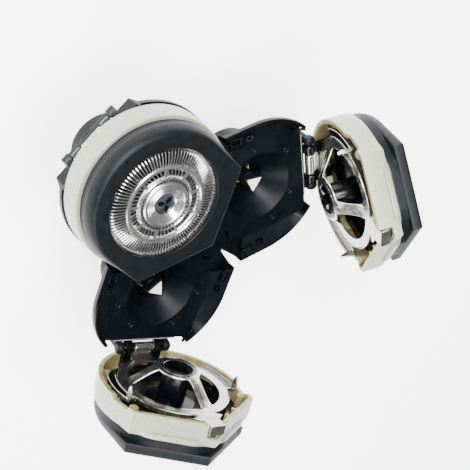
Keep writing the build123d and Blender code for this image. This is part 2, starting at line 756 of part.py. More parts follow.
def make_centre_spider():
    """Central column with three arms that carry the pods' pivot pins."""
    table_z = FACE_Z + TABLE_Z
    with BuildPart() as spider:
        with BuildSketch(Plane.XY.offset(COVER_TOP)):
            Circle(COLUMN_R)
        extrude(amount=table_z - ARM_T - COVER_TOP)
        with BuildSketch(Plane.XY.offset(table_z - ARM_T)):
            Polygon(*spider_points(), align=None)
        extrude(amount=ARM_T)
        for _, direction, _, _ in HEADS:
            seat = seat_plane(direction)
            with BuildSketch(side_plane(seat, 0)):
                with Locations((PIVOT_X, PIVOT_Z)):
                    Circle(LUG_R + POD_CLEAR)
            extrude(amount=LUG_L / 2 + POD_CLEAR, both=True, mode=Mode.SUBTRACT)
            with BuildSketch(side_plane(seat, 0)):
                with Locations((PIVOT_X, PIVOT_Z)):
                    Circle(PIVOT_R)
            extrude(amount=PIVOT_L / 2, both=True, mode=Mode.SUBTRACT)
    return spider.part


def make_seal_ring():
    """Rubber ring in the collar's groove."""
    with BuildPart() as seal:
        with BuildSketch(Plane.XY.offset(GROOVE_BOTTOM)):
            Circle(COUPLING_R)
            Circle(COUPLING_R - GROOVE_DEPTH, mode=Mode.SUBTRACT)
        extrude(amount=GROOVE_H)
    return seal.part


def make_shaft_bush():
    """Plain bearing bush for the drive shaft."""
    with BuildPart() as bush:
        with BuildSketch(Plane.XY.offset(BOSS_BOTTOM)):
            Circle(BUSH_R)
            Circle(DRIVE_R + GAP, mode=Mode.SUBTRACT)
        extrude(amount=FLOOR_TOP - BOSS_BOTTOM)
    return bush.part


def make_drive_shaft():
    """Drive shaft, with a keyed socket for the handle's shaft."""
    with BuildPart() as shaft:
        with BuildSketch(Plane.XY.offset(DRIVE_BOTTOM)):
            Circle(DRIVE_R)
        extrude(amount=GEAR_BOTTOM - DRIVE_BOTTOM)
        with BuildSketch(Plane.XY.offset(GEAR_BOTTOM)):
            Circle(SPIGOT_R)
        extrude(amount=DRIVE_TOP - GEAR_BOTTOM)
        with BuildSketch(Plane.XY.offset(DRIVE_BOTTOM)):
            Circle(SOCKET_BORE_R)
            with Locations((SOCKET_BORE_R, 0)):
                Rectangle(KEY_W, KEY_W)
        extrude(amount=SOCKET_BORE_L, mode=Mode.SUBTRACT)
    return shaft.part


def make_sun_gear():
    """Sun gear on the drive shaft."""
    with BuildPart() as gear:
        with BuildSketch(Plane.XY.offset(GEAR_BOTTOM)):
            Polygon(*gear_points(SUN_TEETH), align=None)
            Circle(SPIGOT_R, mode=Mode.SUBTRACT)
        extrude(amount=GEAR_TOP - GEAR_BOTTOM)
    return gear.part


# ---------------------------------------------------------------- all pieces

finish_piece(make_coupling_housing(), "coupling_housing")
finish_piece(make_gearbox_cover(), "gearbox_cover")
finish_piece(make_housing_screws(), "housing_screws")
finish_piece(make_centre_spider(), "centre_spider")
finish_piece(make_seal_ring(), "seal_ring")
finish_piece(make_shaft_bush(), "shaft_bush")
finish_piece(make_drive_shaft(), "drive_shaft")
finish_piece(make_sun_gear(), "sun_gear")

for head, direction, opening, turn in HEADS:
    seat = seat_plane(direction)
    face = lid_plane(direction, opening)
    finish_piece(make_planet_gear(seat), f"{head}_planet_gear")
    finish_piece(make_spindle(seat, turn), f"{head}_spindle")
    spring = make_spring(seat, 0, GEAR_TOP - FACE_Z, COLLAR_Z, SPINDLE_SPRING_R)
    finish_piece(spring, f"{head}_spindle_spring")
    finish_piece(make_pod(seat), f"{head}_pod")
    finish_piece(make_rod(seat, PIVOT_X, PIVOT_Z, PIVOT_R, PIVOT_L), f"{head}_pivot_pin")
    spring = make_spring(seat, POD_SPRING_X, COVER_TOP - FACE_Z, POD_BOTTOM_Z, POD_SPRING_R)
    finish_piece(spring, f"{head}_pod_spring")
    finish_piece(make_hinge_bracket(seat), f"{head}_hinge_bracket")
    finish_piece(make_rod(seat, HINGE_X, HINGE_Z, PIN_R, PIN_L), f"{head}_hinge_pin")
    finish_piece(make_lid_ring(face), f"{head}_lid_ring")
    finish_piece(make_lid_cap(face), f"{head}_lid_cap")
    finish_piece(make_guard(face), f"{head}_guard")
    finish_piece(make_guard_centre(face), f"{head}_guard_centre")
    finish_piece(make_cutter(face), f"{head}_cutter")
    finish_piece(make_cutter_hub(face, turn), f"{head}_cutter_hub")
    finish_piece(make_retaining_frame(face), f"{head}_retaining_frame")
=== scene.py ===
import bmesh
import bpy
import json
import math
from mathutils import Matrix, Vector


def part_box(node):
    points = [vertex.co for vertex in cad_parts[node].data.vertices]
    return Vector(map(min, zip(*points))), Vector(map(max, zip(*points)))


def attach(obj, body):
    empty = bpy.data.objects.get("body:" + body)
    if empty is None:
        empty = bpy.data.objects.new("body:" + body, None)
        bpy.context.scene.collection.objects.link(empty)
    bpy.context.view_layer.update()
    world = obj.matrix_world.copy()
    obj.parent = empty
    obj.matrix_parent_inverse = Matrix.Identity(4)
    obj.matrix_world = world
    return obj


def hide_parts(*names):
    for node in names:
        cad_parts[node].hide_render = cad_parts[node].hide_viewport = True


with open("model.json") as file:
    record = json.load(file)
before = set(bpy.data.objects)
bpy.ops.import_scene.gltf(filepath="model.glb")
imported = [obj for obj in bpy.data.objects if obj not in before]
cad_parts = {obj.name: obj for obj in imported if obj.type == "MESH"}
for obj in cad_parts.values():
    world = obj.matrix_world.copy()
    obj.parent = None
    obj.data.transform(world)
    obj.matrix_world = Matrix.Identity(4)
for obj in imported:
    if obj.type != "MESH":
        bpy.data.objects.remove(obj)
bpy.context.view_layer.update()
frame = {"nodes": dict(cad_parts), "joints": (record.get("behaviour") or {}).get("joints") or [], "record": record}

# Three-head rotary shaving unit. Shapes are drawn in millimetres in a head's own frame
# (x outwards from the unit's axis, y along the tangent, z up, z = 0 at the shaving face)
# and are moved to the place that the frame's joints give for each head.
MM = 0.001
HEADS = ("front", "right", "left")
TIP_TURN = {"front": 0, "right": 50, "left": 18}
SEGMENTS = 144
TINY = 1e-6

# sizes shared by several pieces
HINGE_X, HINGE_Z = 12.6, -10.2
TIP_R = 15.8
SHOULDER_R = 15.87
SHOULDER_ANGLE = math.radians(119.6)
RING_TOP_Z, RING_BOTTOM_Z = -4.0, -8.7
FLANGE_R, FLANGE_CUT = 14.9, 14.3
NEIGHBOUR, FLANGE_REACH = math.radians(150), 0.9
TABLE_Z, RIM_Z = -10.4, -8.9
TROUGH_X, TROUGH_Y, TROUGH_Z = 10.9, 9.3, -13.3
WALL_Z = -10.1


# ---------------------------------------------------------------- places

joints = {j["name"]: j for j in frame["joints"]}


def head_frame(head, spin_name):
    """A head's frame at rest, from its lid's hinge and from the axis of one of its spins."""
    hinge = joints[f"{head}_lid_hinge"]
    y = Vector(hinge["axis"]).normalized()
    z = Vector(joints[f"{head}_{spin_name}"]["axis"]).normalized()
    x = y.cross(z)
    origin = Vector(hinge["pos_m"]) - (x * HINGE_X + z * HINGE_Z) * MM
    return Matrix.Translation(origin) @ Matrix((x, y, z)).transposed().to_4x4()


SEAT = {head: head_frame(head, "planet_spin") for head in HEADS}
LID = {head: head_frame(head, "cutter_spin") for head in HEADS}


# ---------------------------------------------------------------- materials

NOISE_LOW, NOISE_HIGH = 0.35, 0.65
GRAIN_FINENESS, GRAIN_DEPTH = 4, 0.02
COAT_ROUGHNESS = 0.08


def new_material(name, colour, roughness, metallic=0.0):
    """Plain material, with the parts that its nodes are added to."""
    material = bpy.data.materials.new(name)
    material.use_nodes = True
    nodes = material.node_tree.nodes
    shader = nodes["Principled BSDF"]
    shader.inputs["Base Color"].default_value = (*colour, 1)
    shader.inputs["Roughness"].default_value = roughness
    shader.inputs["Metallic"].default_value = metallic
    return material, nodes, material.node_tree.links, shader


def surface(name, low, high, rough, metallic=0.0, scale=900.0, bump=0.0, stretch=(1, 1, 1),
            coat=0.0, specular=None):
    """Colour and roughness vary with a fine noise between two values, with an optional fine bump."""
    material, nodes, links, shader = new_material(name, low, rough[0], metallic)
    coords = nodes.new("ShaderNodeTexCoord")
    mapping = nodes.new("ShaderNodeMapping")
    mapping.inputs["Scale"].default_value = stretch
    links.new(coords.outputs["Object"], mapping.inputs["Vector"])
    noise = nodes.new("ShaderNodeTexNoise")
    noise.inputs["Scale"].default_value = scale
    noise.inputs["Detail"].default_value = 4
    links.new(mapping.outputs["Vector"], noise.inputs["Vector"])
    ramp = nodes.new("ShaderNodeValToRGB")
    ramp.color_ramp.elements[0].position = NOISE_LOW
    ramp.color_ramp.elements[0].color = (*low, 1)
    ramp.color_ramp.elements[1].position = NOISE_HIGH
    ramp.color_ramp.elements[1].color = (*high, 1)
    links.new(noise.outputs["Fac"], ramp.inputs["Fac"])
    links.new(ramp.outputs["Color"], shader.inputs["Base Color"])
    spread = nodes.new("ShaderNodeMapRange")
    spread.inputs["To Min"].default_value = rough[0]
    spread.inputs["To Max"].default_value = rough[1]
    links.new(noise.outputs["Fac"], spread.inputs["Value"])
    links.new(spread.outputs["Result"], shader.inputs["Roughness"])
    if bump:
        grain = nodes.new("ShaderNodeTexNoise")
        grain.inputs["Scale"].default_value = scale * GRAIN_FINENESS
        grain.inputs["Detail"].default_value = 2
        links.new(mapping.outputs["Vector"], grain.inputs["Vector"])
        node = nodes.new("ShaderNodeBump")
        node.inputs["Strength"].default_value = bump
        node.inputs["Distance"].default_value = GRAIN_DEPTH * MM
        links.new(grain.outputs["Fac"], node.inputs["Height"])
        links.new(node.outputs["Normal"], shader.inputs["Normal"])
    if coat:
        shader.inputs["Coat Weight"].default_value = coat
        shader.inputs["Coat Roughness"].default_value = COAT_ROUGHNESS
    if specular is not None:
        shader.inputs["Specular IOR Level"].default_value = specular
    return material


MATERIALS = {
    "black_satin": surface(
        "black_satin_plastic", (0.0016, 0.0026, 0.0036), (0.0030, 0.0044, 0.0058), (0.42, 0.54),
        scale=700, bump=0.35, specular=0.14,
    ),
    "black_table": surface(
        "black_table_plastic", (0.0008, 0.0014, 0.0026), (0.0015, 0.0026, 0.0042), (0.34, 0.46),
        scale=600, bump=0.3, specular=0.09,
    ),
    "black_gloss": surface(
        "black_gloss_plastic", (0.0008, 0.0012, 0.0018), (0.0018, 0.0026, 0.0036), (0.14, 0.24),
        scale=400, bump=0.1, specular=0.22,
    ),
    "champagne": surface(
        "champagne_lacquer", (0.235, 0.245, 0.19), (0.30, 0.31, 0.245), (0.30, 0.42),
        metallic=0.35, scale=2500, bump=0.5,
    ),
    # painted shade: a darker gold-brown copy of the champagne finish, for the ring's inside, ribs and posts
    "champagne_painted_shade": surface(
        "champagne_in_painted_shade", (0.20, 0.17, 0.07), (0.36, 0.31, 0.15), (0.30, 0.45),
        metallic=0.5, scale=500, bump=0.3,
    ),
    "polished_steel": surface(
        "polished_guard_steel", (0.66, 0.66, 0.66), (0.80, 0.80, 0.79), (0.20, 0.30),
        metallic=1.0, scale=1500,
    ),
    "pressed_steel": surface(
        "pressed_spring_steel", (0.40, 0.39, 0.355), (0.56, 0.55, 0.50), (0.20, 0.28),
        metallic=1.0, scale=350, bump=0.03, stretch=(1, 1, 3),
    ),
    "dark_steel": surface(
        "shaded_blade_steel", (0.035, 0.035, 0.04), (0.08, 0.08, 0.085), (0.30, 0.42),
        metallic=1.0, scale=900, bump=0.2,
    ),
    # painted highlight: a lighter grey finish that stands in for light caught on the pod's trough edge
    "painted_edge_highlight": surface(
        "painted_highlight_strip", (0.10, 0.11, 0.12), (0.22, 0.23, 0.24), (0.16, 0.26),
        scale=300, bump=0.1,
    ),
    "white_plastic": surface(
        "off_white_acetal", (0.72, 0.70, 0.62), (0.82, 0.80, 0.73), (0.32, 0.45),
        scale=900, bump=0.3,
    ),
    "gear_plastic": surface(
        "natural_acetal", (0.62, 0.61, 0.56), (0.72, 0.71, 0.66), (0.36, 0.50),
        scale=600, bump=0.3,
    ),
    "bronze": surface(
        "sintered_bronze", (0.40, 0.25, 0.10), (0.55, 0.37, 0.18), (0.35, 0.50),
        metallic=1.0, scale=1200, bump=0.5,
    ),
    "rubber": surface(
        "seal_rubber", (0.006, 0.006, 0.006), (0.014, 0.014, 0.014), (0.55, 0.70),
        scale=900, bump=0.4,
    ),
    "lens": surface(
        "dark_blue_lens", (0.016, 0.019, 0.026), (0.040, 0.046, 0.058), (0.08, 0.14),
        metallic=0.2, scale=300, coat=0.4,
    ),
}


# ---------------------------------------------------------------- mesh helpers

def build(name, points, faces, matrix, materials, face_materials=None, bevel=0.0, smooth=35.0,
          segments=2):
    """Mesh object from points in millimetres in a head's frame."""
    mesh = bpy.data.meshes.new(name)
    mesh.from_pydata([matrix @ (Vector(p) * MM) for p in points], [], faces)
    mesh.validate()
    for key in materials:
        mesh.materials.append(MATERIALS[key])
    if face_materials and len(face_materials) == len(mesh.polygons):
        for polygon, index in zip(mesh.polygons, face_materials):
            polygon.material_index = index
    work = bmesh.new()
    work.from_mesh(mesh)
    bmesh.ops.recalc_face_normals(work, faces=work.faces)
    work.to_mesh(mesh)
    work.free()
    piece = bpy.data.objects.new(name, mesh)
    bpy.context.scene.collection.objects.link(piece)
    if bevel:
        modifier = piece.modifiers.new("edge_round", "BEVEL")
        modifier.width = bevel * MM
        modifier.segments = segments
        modifier.limit_method = "ANGLE"
        modifier.angle_limit = math.radians(smooth)
        modifier.use_clamp_overlap = True
    mesh.shade_smooth()
    mesh.set_sharp_from_angle(angle=math.radians(smooth))
    return piece


def fit(piece, body, slot, *nodes):
    """Rides the piece on its body and hides the solids it stands for; its slot is not used."""
    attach(piece, body)
    if nodes:
        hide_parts(*nodes)
    return piece


def turned(points, angle):
    """Points (x, y) turned about the axis."""
    c, s = math.cos(angle), math.sin(angle)
    return [(x * c - y * s, x * s + y * c) for x, y in points]


class Shape:
    """Collects points and faces, so that one piece can be made of several closed bodies."""

    def __init__(self):
        self.points, self.faces, self.materials = [], [], []

    def rings(self, loops, material=0, closed=False, cap_start=False, cap_end=False):
        """Skin over loops of equal length; material may be a function of (row, column)."""
        base, count = len(self.points), len(loops[0])
        for loop in loops:
            self.points.extend(loop)
        rows = len(loops)
        for row in range(rows if closed else rows - 1):
            a, b = base + row * count, base + ((row + 1) % rows) * count
            for i in range(count):
                j = (i + 1) % count
                self.faces.append((a + i, a + j, b + j, b + i))
                self.materials.append(material(row, i) if callable(material) else material)
        for wanted, row in ((cap_start, 0), (cap_end, rows - 1)):
            if wanted:
                self.faces.append(tuple(base + row * count + i for i in range(count)))
                self.materials.append(material(row, 0) if callable(material) else material)
        return self

    def lathe(self, profile, material=0, closed=True, segments=SEGMENTS):
        """Turns a profile of (radius, z) round the head's axis."""
        turns = [2 * math.pi * i / segments for i in range(segments)]
        loops = [[(r * math.cos(a), r * math.sin(a), z) for a in turns] for r, z in profile]
        return self.rings(loops, material, closed)

    def prism(self, outline, low, high, material=0):
        """Straight solid on a closed outline of (x, y)."""
        loops = [[(x, y, low) for x, y in outline], [(x, y, high) for x, y in outline]]
        return self.rings(loops, material, cap_start=True, cap_end=True)

    def box(self, corner, size, turn=0.0, centre=(0, 0, 0), material=0):
        """Block from its lowest corner, turned about a centre."""
        x, y, z = corner
        w, d, h = size
        flat = turned([(x, y), (x + w, y), (x + w, y + d), (x, y + d)], turn)
        outline = [(centre[0] + u, centre[1] + v) for u, v in flat]
        return self.prism(outline, centre[2] + z, centre[2] + z + h, material)

    def rod(self, start, end, radius, material=0, segments=32, bore=0.0, edge=0.12):
        """Round bar between two points, with broken edges and an optional bore."""
        start, end = Vector(start), Vector(end)
        axis = (end - start).normalized()
        side = axis.orthogonal().normalized()
        other = axis.cross(side)
        length = (end - start).length
        profile = [(radius - edge, 0), (radius, edge), (radius, length - edge), (radius - edge, length)]
        if bore:
            profile += [(bore, length), (bore, 0)]
        else:
            profile = [(0.01, 0)] + profile + [(0.01, length)]
        loops = []
        for r, along in profile:
            loop = []
            for i in range(segments):
                a = 2 * math.pi * i / segments
                p = start + axis * along + (side * math.cos(a) + other * math.sin(a)) * r
                loop.append(tuple(p))
            loops.append(loop)
        return self.rings(loops, material, closed=True)

    def make(self, name, matrix, materials, bevel=0.0, smooth=35.0, segments=2):
        """Turns what was collected into one mesh object."""
        return build(
            name, self.points, self.faces, matrix, materials, self.materials, bevel, smooth, segments
        )


def ray_to_polygon(angle, corners):
    """Distance from the origin to the furthest edge of a polygon along a direction."""
    c, s = math.cos(angle), math.sin(angle)
    best = None
    for (x0, y0), (x1, y1) in zip(corners, corners[1:] + corners[:1]):
        dx, dy = x1 - x0, y1 - y0
        det = c * dy - s * dx
        if abs(det) < 1e-9:
            continue
        t = (x0 * dy - y0 * dx) / det
        u = (x0 * s - y0 * c) / det
        if t > 0 and -1e-9 <= u <= 1 + 1e-9:
            best = t if best is None else max(best, t)
    return best


def from_axis(angle):
    """Size of an angle from the outward direction, from 0 to pi."""
    return abs(math.atan2(math.sin(angle), math.cos(angle)))


def lid_radius(angle, radius, grow=0.0):
    """Distance to the lid's outline: round outside, straight inner sides, 120 degree tip."""
    a = from_axis(angle)
    reach = SHOULDER_R + grow
    touch = SHOULDER_ANGLE - math.acos(min(1.0, radius / reach))
    if a <= touch:
        return radius
    start = (radius * math.cos(touch), radius * math.sin(touch))
    corner = (reach * math.cos(SHOULDER_ANGLE), reach * math.sin(SHOULDER_ANGLE))
    tip = (-TIP_R - grow, 0.0)
    return ray_to_polygon(a, [start, corner, tip, (0.0, -1.0)])


MERGE_ANGLE = math.radians(0.6)


def lid_angles(extra=()):
    """Directions round a lid, with its corners and any extra directions among them."""
    angles = {round(2 * math.pi * i / SEGMENTS - math.pi, 6) for i in range(SEGMENTS)}
    for a in (SHOULDER_ANGLE, -SHOULDER_ANGLE, *extra):
        nearest = min(angles, key=lambda b: abs(b - a))
        if abs(nearest - a) < MERGE_ANGLE:
            angles.discard(nearest)
        angles.add(round(a, 6))
    return sorted(angles)


def polar_loop(angles, radius, z):
    """Loop of points; radius and z may be functions of the direction."""
    loop = []
    for a in angles:
        r = radius(a) if callable(radius) else radius
        loop.append((r * math.cos(a), r * math.sin(a), z(a) if callable(z) else z))
    return loop


def rounded(corners, amount=0.3, passes=3):
    """Closed outline with its corners cut round: the first cut sets the radius, the rest smooth it."""
    points = list(corners)
    for _ in range(passes):
        cut = []
        for (x0, y0), (x1, y1) in zip(points, points[1:] + points[:1]):
            cut.append((x0 + (x1 - x0) * amount, y0 + (y1 - y0) * amount))
            cut.append((x1 - (x1 - x0) * amount, y1 - (y1 - y0) * amount))
        points = cut
        amount = 0.25
    return points


# ---------------------------------------------------------------- lid

CAP_BORE_R, CAP_MOUTH_R, CAP_T = 11.45, 10.62, 1.2
# (radius, how far the straight sides grow, height) down the cap's edge, then (radius, height) below it
CAP_SHOULDER = [
    (12.95, -0.55, 0.0), (13.20, -0.32, -0.03), (13.42, -0.14, -0.13), (13.68, -0.03, -0.36),
    (13.94, 0.0, -0.80), (14.16, 0.0, -1.35), (14.30, 0.0, -1.85), (14.32, -0.08, -2.05),
    (14.32, -0.40, -2.14),
]
CAP_SKIRT = [(14.30, -2.25), (14.30, -3.0), (14.28, -3.7), (14.22, -3.94), (14.1, RING_TOP_Z)]
CAP_SKIRT_STEP = 0.25


def make_lid_cap(head):
    """Black cap: flat face, swelling skirt and a plate whose corners overhang."""
    angles = lid_angles()
    mouth = [(CAP_MOUTH_R, -CAP_T), (CAP_MOUTH_R, -0.12), (CAP_MOUTH_R + 0.12, 0.0)]
    loops = [polar_loop(angles, r, z) for r, z in mouth]
    for radius, grow, z in CAP_SHOULDER:
        loops.append(polar_loop(angles, lambda a, r=radius, g=grow: lid_radius(a, r, g), z))
    for radius, z in CAP_SKIRT:
        loops.append(polar_loop(angles, lambda a, r=radius: min(r, lid_radius(a, r) + CAP_SKIRT_STEP), z))
    loops.append(polar_loop(angles, CAP_BORE_R, RING_TOP_Z))
    loops.append(polar_loop(angles, CAP_BORE_R, -CAP_T))
    shape = Shape().rings(loops, closed=True)
    piece = shape.make(f"{head}_cap", LID[head], ["black_satin"], smooth=28)
    fit(piece, f"{head}_lid", "black_satin", f"{head}_lid_cap")


NOTCH_Z, DIP_Z = -6.0, -8.0
NOTCH_HALF = math.asin(1.8 / 15.2)
DIP_LOW, DIP_HIGH = math.radians(98), math.radians(114)
STEP_ANGLE = math.radians(0.35)
FLOOR_BORE_R, FLOOR_Z = 11.4, -5.2
RIBS = (48, 62, 76, 90, 137, 152)
POST_X, POST_Y = -5.8, 12.6
KNUCKLE_L, KNUCKLE_R, PIN_R = 1.9, 1.25, 0.55


def ring_bottom(angle):
    """Lower edge of the ring: raised at the tip's notch and in a shallow dip on each side."""
    a = from_axis(angle)
    if a >= math.pi - NOTCH_HALF - TINY:
        return NOTCH_Z
    if DIP_LOW + STEP_ANGLE - TINY <= a <= DIP_HIGH + TINY:
        return DIP_Z
    return RING_BOTTOM_Z


def flange_radius(angle, radius=FLANGE_R):
    """Round flange, cut flat where a neighbouring head stands beside it."""
    toward = abs(from_axis(angle) - NEIGHBOUR)
    if toward > FLANGE_REACH:
        return radius
    return min(radius, (FLANGE_CUT + radius - FLANGE_R) / math.cos(toward))


def make_lid_ring(head):
    """Champagne ring: polygon walls, a round flange, a tip notch, and an inside given a darker gold-brown copy of
    the champagne finish as painted shade.
    """
    extra = []
    for sign in (1, -1):
        for a in (math.pi - NOTCH_HALF, math.pi - NOTCH_HALF - STEP_ANGLE):
            extra.append(sign * a)
        for a in (DIP_LOW, DIP_LOW + STEP_ANGLE, DIP_HIGH, DIP_HIGH + STEP_ANGLE):
            extra.append(sign * a)
    angles = lid_angles(extra)

    def wall(radius, grow):
        return lambda a: lid_radius(a, radius, grow)

    def flare(radius, grow):
        return lambda a: max(lid_radius(a, radius, grow), flange_radius(a))

    loops = [
        polar_loop(angles, wall(14.1, -0.62), ring_bottom),
        polar_loop(angles, wall(14.88, 0.16), ring_bottom),
        polar_loop(angles, wall(15.0, 0.3), lambda a: ring_bottom(a) + 0.12),
        polar_loop(angles, wall(14.98, 0.3), -5.35),
        polar_loop(angles, wall(14.97, 0.28), -5.22),
        polar_loop(angles, flare(14.96, 0.26), -5.16),
        polar_loop(angles, flare(14.95, 0.26), -5.02),
        polar_loop(angles, flare(14.9, 0.2), -4.3),
        polar_loop(angles, lambda a: flange_radius(a, 14.84), -4.12),
        polar_loop(angles, lambda a: flange_radius(a, 14.72), RING_TOP_Z + 0.01),
        polar_loop(angles, 14.12, RING_TOP_Z),
        polar_loop(angles, FLOOR_BORE_R, RING_TOP_Z),
        polar_loop(angles, FLOOR_BORE_R, FLOOR_Z),
        polar_loop(angles, wall(13.9, -0.8), FLOOR_Z),
        polar_loop(angles, wall(14.0, -0.7), -5.35),
    ]
    # the inner walls and lower face are given the darker gold-brown painted shade; the floor and bore are black
    black_rows, painted_shade_rows = (11, 12), (13, 14, 0)

    def material(row, _):
        if row in black_rows:
            return 2
        return 1 if row in painted_shade_rows else 0

    shape = Shape().rings(loops, material, closed=True)
    # the ribs and posts inside the ring take the same gold-brown painted shade
    for sign in (1, -1):
        for degrees in RIBS:
            a = math.radians(degrees) * sign
            reach = lid_radius(a, 14.0, -0.7)
            shape.box((reach - 1.3, -0.35, -7.6), (1.4, 0.7, 2.0), turn=a, material=1)
        post = (POST_X, POST_Y * sign)
        shape.rod((*post, -8.5), (*post, -5.5), 0.85, material=1, edge=0.25)
        shape.rod((*post, -8.62), (*post, -8.4), 0.45, material=1, edge=0.1)
    for y in (2.6, -4.5):
        start, end = (HINGE_X, y, HINGE_Z), (HINGE_X, y + KNUCKLE_L, HINGE_Z)
        shape.rod(start, end, KNUCKLE_R, material=2, bore=PIN_R)
        shape.box((12.05, y + 0.05, HINGE_Z + 1.0), (1.1, KNUCKLE_L - 0.1, 3.6), material=2)
    finishes = ["champagne", "champagne_painted_shade", "black_gloss"]
    piece = shape.make(f"{head}_ring", LID[head], finishes, bevel=0.06, smooth=40)
    fit(piece, f"{head}_lid", "champagne", f"{head}_lid_ring")


GUARD_BARS, TRACK_BARS, TRACK_TIES = 100, 54, 9
BAR_T, BAR_SHARE, BAR_EDGE = 0.22, 0.19, 0.06
# profiles of (radius, height)
BAR_PROFILE = [
    (7.55, 0.05), (7.75, 0.15), (8.6, 0.16), (9.6, 0.13), (10.05, 0.03), (10.32, -0.20),
    (10.42, -0.55), (10.42, -1.0),
]
CREST_RING = [
    (6.82, -0.10), (6.86, 0.12), (6.98, 0.24), (7.25, 0.27), (7.52, 0.22), (7.66, 0.08),
    (7.68, -0.30), (6.82, -0.30),
]
SEAT_RING = [
    (10.5, -0.95), (10.5, -1.2), (11.35, -1.25), (11.35, -1.68), (9.95, -1.68), (9.95, -1.2),
    (10.1, -0.95),
]
CENTRE_RING = [
    (4.86, -0.35), (4.86, 0.10), (4.94, 0.18), (5.12, 0.18), (5.20, 0.10), (5.22, -0.55), (4.95, -0.55),
]
TRACK_LEDGES = (
    [(5.18, -0.62), (5.18, -0.50), (5.42, -0.46), (5.46, -0.62)],
    [(6.50, -0.62), (6.54, -0.42), (6.84, -0.30), (6.84, -0.62)],
)
TRACK_R, TRACK_LEAN = 5.95, math.radians(16)


def guard_bar(angle):
    """Loops of one rounded bar, which runs outwards over the track and down its outer wall."""
    loops = []
    for index, (r, z) in enumerate(BAR_PROFILE):
        half = BAR_SHARE * 2 * math.pi * r / GUARD_BARS
        before = Vector(BAR_PROFILE[max(index - 1, 0)])
        after = Vector(BAR_PROFILE[min(index + 1, len(BAR_PROFILE) - 1)])
        along = (after - before).normalized()
        normal = Vector((-along.y, along.x))
        crown = half * 0.55
        section = [
            (-half, -BAR_T), (-half, -BAR_EDGE), (-crown, 0.0),
            (crown, 0.0), (half, -BAR_EDGE), (half, -BAR_T),
        ]
        flat = turned([(r + normal.x * depth, side) for side, depth in section], angle)
        loops.append([(x, y, z + normal.y * depth) for (x, y), (_, depth) in zip(flat, section)])
    return loops


def make_guard(head):
    """Guard of separate rounded bars over the outer track, with its rings and inner track."""
    shape = Shape()
    for k in range(GUARD_BARS):
        shape.rings(guard_bar(2 * math.pi * k / GUARD_BARS), cap_start=True, cap_end=True)
    for profile in (CREST_RING, SEAT_RING, CENTRE_RING):
        shape.lathe(profile)
    for k in range(TRACK_BARS):
        a = 2 * math.pi * k / TRACK_BARS
        if k % (TRACK_BARS // TRACK_TIES) == 0:
            shape.box((5.15, -0.30, -0.45), (1.75, 0.60, 0.42), turn=a)
        else:
            centre = (TRACK_R * math.cos(a), TRACK_R * math.sin(a), 0)
            shape.box((-0.72, -0.09, -0.72), (1.44, 0.18, 0.42), turn=a + TRACK_LEAN, centre=centre)
    for profile in TRACK_LEDGES:
        shape.lathe(profile)
    piece = shape.make(f"{head}_guard_bars", LID[head], ["polished_steel"], smooth=32)
    fit(piece, f"{head}_lid", "polished_steel", f"{head}_guard")


DISH_EDGE = [
    (4.40, -0.70), (4.40, -0.05), (4.44, 0.02), (4.34, 0.16), (4.15, 0.30), (3.90, 0.33), (3.70, 0.28),
]
DISH_BORE = [(2.0, -0.18), (1.95, -0.30), (1.95, -0.70)]
RIDGES, RIDGE_R, RIDGE_Z, RIDGE_PITCH, RIDGE_DROP = 4, 3.62, 0.22, 0.40, 0.09
DISH_HOLES = 44
LENS = [
    (0.02, -0.20), (0.5, -0.21), (1.0, -0.25), (1.5, -0.32), (1.94, -0.44), (1.94, -0.70), (0.02, -0.70),
]
VANE = [(0.02, -0.22), (1.25, -0.30), (1.62, 0.10), (1.30, 0.52), (0.55, 0.50)]
VANE_TURN = 0.4


def make_guard_centre(head):
    """Ridged polished dish round a dark lens that shows a three-armed coupling."""
    shape = Shape()
    ridges = []
    for k in range(RIDGES):
        r, z = RIDGE_R - k * RIDGE_PITCH, RIDGE_Z - k * RIDGE_DROP
        ridges += [(r, z), (r - 0.10, z + 0.06), (r - 0.24, z + 0.03), (r - 0.34, z - 0.08)]
    shape.lathe(DISH_EDGE + ridges + DISH_BORE)
    for k in range(DISH_HOLES):
        shape.box((4.44, -0.09, -0.30), (0.42, 0.18, 0.22), turn=2 * math.pi * k / DISH_HOLES)
    shape.lathe(LENS, material=1)
    for k in range(3):
        vane = turned(rounded(VANE, 0.10, 2), 2 * math.pi * k / 3 + VANE_TURN)
        shape.prism(vane, -0.30, -0.16, material=2)
    piece = shape.make(f"{head}_dish", LID[head], ["polished_steel", "lens", "black_gloss"], smooth=30)
    fit(piece, f"{head}_lid", "polished_steel", f"{head}_guard_centre")


BLADES = 15
CUTTER_PLATE = [(2.0, -4.2), (8.9, -4.2), (8.95, -4.1), (8.95, -3.68), (8.9, -3.6), (2.0, -3.6)]


def make_cutter(head):
    """Blades leaning in two tracks on a scalloped base, seen through the guard and from below."""
    shape = Shape().lathe(CUTTER_PLATE)
    for k in range(BLADES):
        a = 2 * math.pi * k / BLADES
        shape.box((7.75, -0.35, -4.15), (1.8, 0.7, 0.55), turn=a)
        shape.box((7.8, -0.22, -3.65), (1.75, 0.44, 3.2), turn=a)
        shape.box((5.4, -0.20, -3.65), (1.25, 0.40, 2.75), turn=a + 0.2)
    piece = shape.make(f"{head}_blades", LID[head], ["dark_steel"], smooth=35)
    fit(piece, f"{head}_cutter", "steel", f"{head}_cutter")


# ---------------------------------------------------------------- retaining frame

